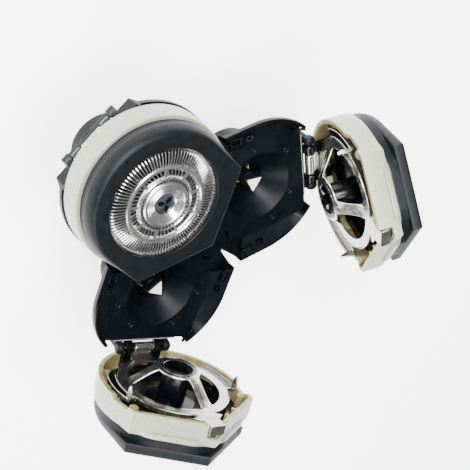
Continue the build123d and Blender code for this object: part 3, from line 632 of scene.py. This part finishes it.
FRAME_RIM_R, FRAME_HUB_R = 9.2, 4.2
FRAME_RIM_Z, FRAME_HUB_Z = -8.35, -12.05
SPOKES = (48, 168, 288)
TONGUE = [(-11.9, 3.4), (-13.2, 1.75), (-14.8, 1.75), (-14.8, -1.75), (-13.2, -1.75), (-11.9, -3.4)]
SPRING_START, SPRING_END = 62, 106
LEAF = [(-0.7, 0.0), (0.7, 0.0), (0.62, -1.6), (0.15, -2.75), (-0.25, -2.75), (-0.66, -1.6)]
LEAF_X, LEAF_Y, LEAF_Z, LEAF_T = -3.4, 12.5, -8.5, 0.16
ROLL_HALF, ROLL_R = 2.3, 1.02
STRAP = [(12.2, -8.13), (12.75, -8.6), (13.0, -9.3), (12.7, -9.3), (12.4, -8.75), (12.0, -8.55)]
STRAP_HALF = 2.35


def dome(r):
    """Height of the pressed frame at a radius: a flat rim, a slope and a flat hub."""
    t = min(1.0, max(0.0, (FRAME_RIM_R - r) / (FRAME_RIM_R - FRAME_HUB_R)))
    eased = t * t * (3 - 2 * t)
    return FRAME_RIM_Z + (FRAME_HUB_Z - FRAME_RIM_Z) * (eased * 0.35 + t * 0.65)


def sheet(name, outer, holes, matrix, material, height, thickness=0.42, edge=0.08):
    """Pressed sheet: an outline with holes, given a thickness and pushed to a height of (x, y)."""
    curve = bpy.data.curves.new(name, "CURVE")
    curve.dimensions = "2D"
    curve.fill_mode = "BOTH"
    for loop in [outer, *holes]:
        spline = curve.splines.new("POLY")
        spline.points.add(len(loop) - 1)
        for point, (x, y) in zip(spline.points, loop):
            point.co = (x, y, 0, 1)
        spline.use_cyclic_u = True
    curve.extrude = thickness / 2 - edge
    curve.bevel_depth = edge
    curve.bevel_resolution = 1
    curve.offset = -edge
    holder = bpy.data.objects.new(name, curve)
    bpy.context.scene.collection.objects.link(holder)
    mesh = bpy.data.meshes.new_from_object(holder.evaluated_get(bpy.context.evaluated_depsgraph_get()))
    bpy.data.objects.remove(holder)
    bpy.data.curves.remove(curve)
    work = bmesh.new()
    work.from_mesh(mesh)
    bmesh.ops.remove_doubles(work, verts=work.verts, dist=1e-4)
    bmesh.ops.triangulate(work, faces=work.faces)
    for limit in (3.0, 1.6, 0.9):
        long_edges = [e for e in work.edges if e.calc_length() > limit]
        if long_edges:
            bmesh.ops.subdivide_edges(work, edges=long_edges, cuts=1)
            bmesh.ops.triangulate(work, faces=[f for f in work.faces if len(f.verts) > 3])
    for vert in work.verts:
        vert.co.z += height(vert.co.x, vert.co.y)
    points = [tuple(v.co) for v in work.verts]
    faces = [tuple(v.index for v in f.verts) for f in work.faces]
    work.free()
    bpy.data.meshes.remove(mesh)
    return build(name, points, faces, matrix, [material], smooth=38)


def arc(radius, start, end, steps=24, centre=(0, 0)):
    """Points on an arc, in degrees."""
    points = []
    for i in range(steps + 1):
        a = math.radians(start + (end - start) * i / steps)
        points.append((centre[0] + radius * math.cos(a), centre[1] + radius * math.sin(a)))
    return points


def make_frame_plate(head, body):
    """The frame's sheet: a rim and a hub joined by three spokes, with the latch tongue."""
    outer = arc(11.2, -170, 170, 96) + TONGUE
    hub_hole = arc(2.9, 0, 360, 47)[:-1]
    gap_in, gap_out = math.degrees(1.15 / 4.4), math.degrees(1.25 / FRAME_RIM_R)
    windows = []
    for start, end in zip(SPOKES, SPOKES[1:] + (SPOKES[0] + 360,)):
        inner_side = arc(4.45, end - gap_in, start + gap_in, 10)
        outer_side = arc(FRAME_RIM_R, start + gap_out, end - gap_out, 18)
        windows.append(rounded(inner_side + outer_side, 0.3, 3))
    height = lambda x, y: dome(math.hypot(x, y))
    plate = sheet(f"{head}_frame_plate", outer, [hub_hole, *windows], LID[head], "pressed_steel", height)
    fit(plate, body, "steel", f"{head}_retaining_frame")


def make_frame_details(head, body):
    """Hub lip, rim bead, latch hook, side springs, prongs and the knuckle rolled round the pin."""
    shape = Shape()
    shape.lathe([(2.88, -12.30), (2.88, -11.5), (3.1, -11.5), (3.15, -12.1), (3.5, -12.28)])
    shape.lathe([(10.55, -8.15), (10.62, -7.55), (10.85, -7.55), (10.92, -8.15)])
    shape.box((-15.5, -1.7, -8.5), (0.4, 3.4, 1.9))
    shape.box((-15.5, -1.7, -8.58), (1.0, 3.4, 0.42))
    for sign in (1, -1):
        start, end = SPRING_START * sign, SPRING_END * sign
        shape.prism(arc(13.1, start, end) + arc(11.6, end, start), -8.52, -8.32, material=1)
        for inner, outer in ((12.95, 13.15), (11.45, 11.65)):
            shape.prism(arc(outer, start, end) + arc(inner, end, start), -8.6, -7.9)
        shape.box((10.9, -0.12, -8.6), (2.25, 0.24, 0.7), turn=math.radians(end))
        outline = rounded(LEAF, 0.2, 2)
        loops = []
        for y in (-LEAF_T, LEAF_T):
            loops.append([(LEAF_X + u, sign * LEAF_Y + y, LEAF_Z + v) for u, v in outline])
        shape.rings(loops, cap_start=True, cap_end=True)
    shape.rod(
        (HINGE_X, -ROLL_HALF, HINGE_Z), (HINGE_X, ROLL_HALF, HINGE_Z), ROLL_R, bore=PIN_R, segments=40
    )
    shape.box((10.7, -STRAP_HALF, -8.55), (1.5, 2 * STRAP_HALF, 0.42))
    loops = [[(x, y, z) for x, z in STRAP] for y in (-STRAP_HALF, STRAP_HALF)]
    shape.rings(loops, cap_start=True, cap_end=True)
    finishes = ["pressed_steel", "black_gloss"]
    piece = shape.make(f"{head}_frame_details", LID[head], finishes, bevel=0.05, smooth=38)
    fit(piece, body, "steel", f"{head}_retaining_frame")


def make_retaining_frame(head):
    """Pressed steel frame, which the front head's closed lid holds still."""
    body = "front_lid" if head == "front" else f"{head}_frame"
    make_frame_plate(head, body)
    make_frame_details(head, body)


HUB_R, HUB_TOP_Z, HUB_END_Z = 2.8, -5.4, -12.34
SOCKET_R, SOCKET_CORNER_R, SOCKET_Z = 2.45, 2.9, -8.4


def make_cutter_hub(head):
    """Dark moulded hub with a triangular socket."""
    angles = [2 * math.pi * i / 96 for i in range(96)]
    corners = turned([(SOCKET_CORNER_R, 0)], math.radians(TIP_TURN[head]))
    corners += turned(corners, math.radians(120)) + turned(corners, math.radians(240))
    socket = lambda a: min(SOCKET_R, ray_to_polygon(a, corners))
    loops = [
        polar_loop(angles, 0.02, SOCKET_Z),
        polar_loop(angles, socket, SOCKET_Z),
        polar_loop(angles, socket, HUB_END_Z + 0.09),
        polar_loop(angles, lambda a: min(HUB_R - 0.08, socket(a) + 0.08), HUB_END_Z),
        polar_loop(angles, HUB_R - 0.06, HUB_END_Z),
        polar_loop(angles, HUB_R, HUB_END_Z + 0.14),
        polar_loop(angles, HUB_R, HUB_TOP_Z),
        polar_loop(angles, 4.9, HUB_TOP_Z),
        polar_loop(angles, 5.0, HUB_TOP_Z + 0.1),
        polar_loop(angles, 5.0, -4.25),
        polar_loop(angles, 0.02, -4.25),
    ]
    shape = Shape().rings(loops)
    piece = shape.make(f"{head}_hub", LID[head], ["black_gloss"], smooth=35)
    fit(piece, f"{head}_cutter", "gear_plastic", f"{head}_cutter_hub")


# ---------------------------------------------------------------- pod

POD_R = 15.2
SHOULDER = (-6.8, 15.2)
SPIDER_SIDE = [(-9.75, 5.3), (-8.75, 7.3), (-8.45, 9.7), (-10.6, 10.6)]
TABLE_SIDE = [(TROUGH_X, 0.01), (TROUGH_X, 9.4), (9.6, 10.8), (0.9, 11.4), (-3.6, 11.0), (-6.2, 10.4)]
CREST_END = (-6.6, 14.7)
CREST_SIDE = [
    (TROUGH_X + 0.02, 0.01), (TROUGH_X + 0.1, 9.5), (9.7, 11.1), (7.6, 12.9), (-1.6, 14.7), CREST_END,
]
# (radius, height) up the neck and the cup to the table, then (share of the outline, height) of the belly
CUP = [
    (3.25, -17.1), (3.25, -14.45), (3.45, -14.2), (5.4, -12.3), (7.35, -10.52),
    (7.5, -10.40), (7.62, -10.38), (7.78, TABLE_Z),
]
BELLY = [(0.79, -14.2), (0.72, -15.5), (0.65, -16.9), (0.63, -17.2)]
TROUGH_FLOOR_R = 12.6


def mirror(points):
    """Half outline followed by its mirror image."""
    return points + [(x, -y) for x, y in reversed(points)]


def pod_outline():
    """Outline of the pod from above: round outside, straight to the shoulders, notched for the spider."""
    shoulder_r = math.hypot(*SHOULDER)
    touch = math.acos(SHOULDER[0] / shoulder_r) - math.acos(POD_R / shoulder_r)
    return mirror(arc(POD_R, 0.5, math.degrees(touch), 48) + [SHOULDER] + SPIDER_SIDE[::-1])


def make_pod(head):
    """Pod: flat dark table with a cone cup, gloss rims and facets, a hinge trough and a tapering belly."""
    spider_end = SPIDER_SIDE[:3][::-1]
    table = mirror(TABLE_SIDE + spider_end)
    crest = mirror(CREST_SIDE + spider_end)
    outline = pod_outline()
    corners = table + crest + [SHOULDER, (SHOULDER[0], -SHOULDER[1]), *SPIDER_SIDE]
    extra = [math.atan2(y, x) for x, y in corners]
    step = math.atan2(TROUGH_Y, 11.0)
    extra += [step, -step, step + 0.006, -step - 0.006]
    angles = lid_angles(extra)
    rim_end = math.atan2(CREST_END[1], CREST_END[0]) + 0.01

    def stretch(angle):
        """0 along the hinge, 1 along the raised rim and 2 along the inner sides."""
        a = from_axis(angle)
        if a < step + 0.003:
            return 0
        return 1 if a < rim_end else 2

    table_r = lambda a: ray_to_polygon(a, table)
    crest_r = lambda a: ray_to_polygon(a, crest)
    out_r = lambda a: ray_to_polygon(a, outline)
    edge_r = lambda a: max(out_r(a), table_r(a) + 0.04)
    floor_r = lambda a: max(table_r(a) + 0.05, TROUGH_FLOOR_R)

    def scaled(radius, share=1.0, more=0.0):
        return lambda a: radius(a) * share + more

    def row(radii, heights):
        """Loop with its own radius and height along each stretch."""
        return polar_loop(angles, lambda a: radii[stretch(a)](a), lambda a: heights[stretch(a)])

    table_edge = scaled(table_r, more=0.02)
    loops = [polar_loop(angles, r, z) for r, z in CUP]
    loops += [
        polar_loop(angles, scaled(table_r, more=-0.12), TABLE_Z),
        row((table_r, table_r, table_r), (-10.5, -10.38, -10.5)),
        row((table_edge, crest_r, table_edge), (TROUGH_Z, RIM_Z - 0.05, -10.8)),
        row((floor_r, scaled(out_r, more=-0.22), scaled(table_r, more=0.03)), (TROUGH_Z, RIM_Z, -11.0)),
        row((floor_r, edge_r, edge_r), (TROUGH_Z - 0.1, RIM_Z - 0.2, -11.2)),
        row((floor_r, edge_r, scaled(edge_r, 0.998)), (TROUGH_Z - 0.15, WALL_Z, -11.5)),
        row((scaled(out_r, 0.80), scaled(out_r, 0.965), scaled(edge_r, 0.99)), (-13.9, WALL_Z - 0.7, -12.0)),
    ]
    loops += [polar_loop(angles, scaled(out_r, share), z) for share, z in BELLY]
    loops.append(polar_loop(angles, 3.4, BELLY[-1][1]))
    last_table_row, last_rim_row = 9, 11

    def material(row_index, _):
        if row_index <= last_table_row:
            return 0
        return 1 if row_index <= last_rim_row else 2

    shape = Shape().rings(loops, material, closed=True)
    finishes = ["black_table", "black_gloss", "black_satin"]
    piece = shape.make(f"{head}_pod_body", SEAT[head], finishes, bevel=0.07, smooth=38)
    fit(piece, f"{head}_pod", "black_gloss", f"{head}_pod")


STUDS = ((7.3, -4.7), (7.2, 5.4), (-0.2, 8.8), (2.6, -9.2))
STUD = [(0.62, -10.42), (0.62, -10.36), (0.55, -10.31), (0.44, -10.33), (0.40, -10.40), (0.12, -10.42)]
# x, y, width, depth and turn of each framed window on the +y shoulder
WINDOWS = ((-4.6, 13.3, 2.4, 1.5, -0.16), (-1.6, 12.9, 1.5, 1.1, -0.1))
WINDOW_EDGE, WINDOW_Z, WINDOW_H = 0.22, -9.55, 0.5
EDGE_HALF_L, EDGE_IN, EDGE_OUT = 7.4, 0.06, 0.10


def make_pod_details(head):
    """Small mouldings on the table and the shoulders: studs, framed windows, and a lighter strip along the trough
    edge that is a painted highlight.
    """
    shape = Shape()
    turns = [2 * math.pi * i / 24 for i in range(24)]
    for x, y in STUDS:
        loops = [[(x + r * math.cos(t), y + r * math.sin(t), z) for t in turns] for r, z in STUD]
        shape.rings(loops, cap_start=True, cap_end=True)
    for sign in (1, -1):
        for x, y, w, d, turn in WINDOWS:
            bars = (
                (-w / 2, -d / 2, w, WINDOW_EDGE), (-w / 2, d / 2 - WINDOW_EDGE, w, WINDOW_EDGE),
                (-w / 2, -d / 2, WINDOW_EDGE, d), (w / 2 - WINDOW_EDGE, -d / 2, WINDOW_EDGE, d),
            )
            for left, near, bar_w, bar_d in bars:
                low = near if sign > 0 else -near - bar_d
                corner, size = (left, low, WINDOW_Z), (bar_w, bar_d, WINDOW_H)
                shape.box(corner, size, turn=turn * sign, centre=(x, y * sign, 0))
    shape.box((3.6, 11.9, -9.75), (3.6, 0.35, 0.5), turn=-0.42, centre=(0, 0.9, 0))
    inner, outer = TROUGH_X - 0.02 - EDGE_IN, TROUGH_X - 0.02 + EDGE_OUT
    edge = [(inner, -EDGE_HALF_L), (inner, EDGE_HALF_L), (outer, EDGE_HALF_L), (outer, -EDGE_HALF_L)]
    # this strip is the painted highlight along the trough edge
    shape.prism(edge, -10.46, -10.30, material=1)
    finishes = ["black_gloss", "painted_edge_highlight"]
    piece = shape.make(f"{head}_pod_mouldings", SEAT[head], finishes, bevel=0.04, smooth=38)
    fit(piece, f"{head}_pod", "black_gloss", f"{head}_pod")


BARREL_STARTS, BARREL_L, BARREL_R = (4.75, -6.4), 1.65, 1.22
BLOCK_X = 10.95


def make_hinge_block(head):
    """Two black barrels on a foot that fills the trough between them."""
    shape = Shape()
    for y in BARREL_STARTS:
        start, end = (HINGE_X, y, HINGE_Z), (HINGE_X, y + BARREL_L, HINGE_Z)
        shape.rod(start, end, BARREL_R, segments=48, edge=0.45)
        shape.box((BLOCK_X, y, TROUGH_Z), (1.9, BARREL_L, 2.4))
    shape.box((BLOCK_X, -6.4, TROUGH_Z), (1.6, 12.8, 1.2))
    finishes = ["black_satin"]
    piece = shape.make(f"{head}_hinge_block", SEAT[head], finishes, bevel=0.12, smooth=40, segments=3)
    fit(piece, f"{head}_pod", "black_gloss", f"{head}_hinge_bracket")


# ---------------------------------------------------------------- springs and spindle

COIL_STEPS, WIRE_SIDES = 28, 10
COIL_REST = 0.1


def node_levels(node, head):
    """Lowest and highest level of a CAD node in a closed head's frame, in millimetres."""
    low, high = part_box(node)
    origin = SEAT[head].translation.z
    return (low.z - origin) / MM, (high.z - origin) / MM


def make_coil(name, head, node, body, x, radius, turns, wire):
    """Coil spring wound between the levels of the node it stands for, with closed ends."""
    low, high = node_levels(node, head)
    loops = []
    for i in range(turns * COIL_STEPS + 1):
        t = i / (turns * COIL_STEPS)
        a = 2 * math.pi * turns * t
        climb = min(1.0, max(0.0, (t - COIL_REST) / (1 - 2 * COIL_REST)))
        z = low + wire + (high - low - 2 * wire) * climb
        centre = Vector((x + (radius - wire) * math.cos(a), (radius - wire) * math.sin(a), z))
        outward = Vector((math.cos(a), math.sin(a), 0))
        loop = []
        for k in range(WIRE_SIDES):
            b = 2 * math.pi * k / WIRE_SIDES
            loop.append(tuple(centre + outward * wire * math.cos(b) + Vector((0, 0, wire * math.sin(b)))))
        loops.append(loop)
    shape = Shape().rings(loops, cap_start=True, cap_end=True)
    piece = shape.make(name, SEAT[head], ["pressed_steel"], smooth=60)
    fit(piece, body, "steel", node)


def make_springs(head):
    """The spring under the spindle and the one that holds the pod level."""
    make_coil(
        f"{head}_spindle_coil", head, f"{head}_spindle_spring", f"{head}_planet",
        x=0, radius=2.3, turns=5, wire=0.22,
    )
    make_coil(
        f"{head}_pod_coil", head, f"{head}_pod_spring", "base",
        x=5.6, radius=1.1, turns=3, wire=0.18,
    )


STEM_R, STEM_Z = 1.6, -21.6
TIP_LOW_Z, TIP_EDGE_Z, TIP_TOP_Z = -13.6, -12.08, -11.9
TIP_MEAN_R, TIP_CROWN = 2.16, 0.30


def make_spindle(head):
    """Sprung spindle with a three-cornered tip on a dark stem: the tip's flat top is off-white, and its sides and
    slope are painted black as painted shade.
    """
    corners = []
    for k in range(3):
        a = math.radians(TIP_TURN[head] + 120 * k)
        for spread in (-0.5, -0.2, 0.2, 0.5):
            r = TIP_MEAN_R + TIP_CROWN * math.cos(spread * 3)
            corners.append((r * math.cos(a + spread * 0.24), r * math.sin(a + spread * 0.24)))
    shoulder = [(x * 0.97, y * 0.97, TIP_EDGE_Z) for x, y in corners]
    top = [(x * 0.76, y * 0.76) for x, y in corners]
    shape = Shape()
    # painted shade: the tip's sides and slope take the black finish; only the flat top is off-white
    shape.prism(corners, TIP_LOW_Z, TIP_EDGE_Z, material=1)
    slope = [shoulder, [(x, y, TIP_TOP_Z - 0.08) for x, y in top]]
    shape.rings(slope, material=1, cap_start=True, cap_end=True)
    shape.prism(top, TIP_TOP_Z - 0.1, TIP_TOP_Z)
    shape.rod((0, 0, STEM_Z), (0, 0, TIP_LOW_Z), STEM_R, segments=48, material=1)
    finishes = ["white_plastic", "black_satin"]
    piece = shape.make(f"{head}_spindle_tip", SEAT[head], finishes, bevel=0.06, smooth=35)
    fit(piece, f"{head}_spindle", "white_plastic", f"{head}_spindle")


# ---------------------------------------------------------------- camera, light and floor

ELEVATION, ROLL = math.radians(42.63), math.radians(132.27)
DISTANCE, FOCAL, SENSOR = 171.52, 70.65, 36
TARGET_X, TARGET_Y = -4.15, 1.51


def make_camera():
    """Camera in front of the unit, looking down at the shaving faces and rolled over."""
    target = Vector((TARGET_X * MM, TARGET_Y * MM, SEAT["front"].translation.z))
    back = Vector((0, -math.cos(ELEVATION), math.sin(ELEVATION)))
    level = Vector((1, 0, 0))
    upright = back.cross(level)
    right = math.cos(ROLL) * level + math.sin(ROLL) * upright
    up = -math.sin(ROLL) * level + math.cos(ROLL) * upright
    data = bpy.data.cameras.new("camera")
    data.lens = FOCAL
    data.sensor_width = SENSOR
    data.clip_start, data.clip_end = 0.01, 10
    camera = bpy.data.objects.new("camera", data)
    bpy.context.scene.collection.objects.link(camera)
    turn = Matrix((right, up, back)).transposed().to_4x4()
    camera.matrix_world = Matrix.Translation(target + back * DISTANCE * MM) @ turn
    bpy.context.scene.camera = camera


def make_light(name, place, aim, size, power):
    """Round soft light in metres and watts."""
    data = bpy.data.lights.new(name, "AREA")
    data.shape = "DISK"
    data.size = size
    data.energy = power
    light = bpy.data.objects.new(name, data)
    bpy.context.scene.collection.objects.link(light)
    light.location = place
    light.rotation_mode = "QUATERNION"
    light.rotation_quaternion = (Vector(aim) - Vector(place)).to_track_quat("-Z", "Y")


FLOOR_HALF, FLOOR_DROP = 6.0, 0.2
FLOOR_GLOW = 2.4


def make_floor():
    """White floor that glows a little, just under the unit."""
    mesh = bpy.data.meshes.new("floor")
    corners = [(x * FLOOR_HALF, y * FLOOR_HALF, 0) for x, y in ((-1, -1), (1, -1), (1, 1), (-1, 1))]
    mesh.from_pydata(corners, [], [(0, 1, 2, 3)])
    material, _, _, shader = new_material("pale_floor", (0.93, 0.93, 0.93), 0.9)
    shader.inputs["Emission Color"].default_value = (1, 1, 1, 1)
    shader.inputs["Emission Strength"].default_value = FLOOR_GLOW
    mesh.materials.append(material)
    floor = bpy.data.objects.new("floor", mesh)
    bpy.context.scene.collection.objects.link(floor)
    floor.location.z = -FLOOR_DROP * MM


ROOM_LOW, ROOM_HIGH, ROOM_STRENGTH = (0.30, 0.31, 0.33, 1), (0.9, 0.9, 0.9, 1), 0.30


def make_world():
    """Dim grey room, a little lighter overhead, so that polished faces have something dark to show."""
    world = bpy.data.worlds.new("studio")
    bpy.context.scene.world = world
    world.use_nodes = True
    nodes, links = world.node_tree.nodes, world.node_tree.links
    background = nodes["Background"]
    coords = nodes.new("ShaderNodeTexCoord")
    split = nodes.new("ShaderNodeSeparateXYZ")
    links.new(coords.outputs["Generated"], split.inputs["Vector"])
    ramp = nodes.new("ShaderNodeValToRGB")
    ramp.color_ramp.elements[0].position = 0.0
    ramp.color_ramp.elements[0].color = ROOM_LOW
    ramp.color_ramp.elements[1].position = 0.9
    ramp.color_ramp.elements[1].color = ROOM_HIGH
    links.new(split.outputs["Z"], ramp.inputs["Fac"])
    links.new(ramp.outputs["Color"], background.inputs["Color"])
    background.inputs["Strength"].default_value = ROOM_STRENGTH


# ---------------------------------------------------------------- the whole scene

make_camera()
make_world()
make_floor()
make_light("key", (-0.15, -0.75, 0.62), (0, 0, 0.03), 0.40, 26.0)
make_light("top", (0.0, -0.30, 1.10), (0, 0, 0.0), 0.80, 32.0)
make_light("rim", (0.60, 0.05, 0.45), (0, 0, 0.02), 0.30, 6.0)

for head in HEADS:
    make_lid_cap(head)
    make_lid_ring(head)
    make_guard(head)
    make_guard_centre(head)
    make_cutter(head)
    make_cutter_hub(head)
    make_retaining_frame(head)
    make_pod(head)
    make_pod_details(head)
    make_hinge_block(head)
    make_spindle(head)
    make_springs(head)

# finish of each CAD node by its slot; the plain blacks are the gearbox and the spider, seen edge-on
CAD_FINISH = {
    "black_satin": "black_table", "black_gloss": "black_table", "steel": "pressed_steel", "rubber": "rubber",
    "bronze": "bronze", "gear_plastic": "gear_plastic", "white_plastic": "white_plastic",
    "champagne": "champagne", "polished_steel": "polished_steel",
}
for part in frame["record"]["subparts"]:
    node = frame["nodes"][part["node"]]
    node.data.materials.clear()
    node.data.materials.append(MATERIALS[CAD_FINISH[part["material_slot"]]])
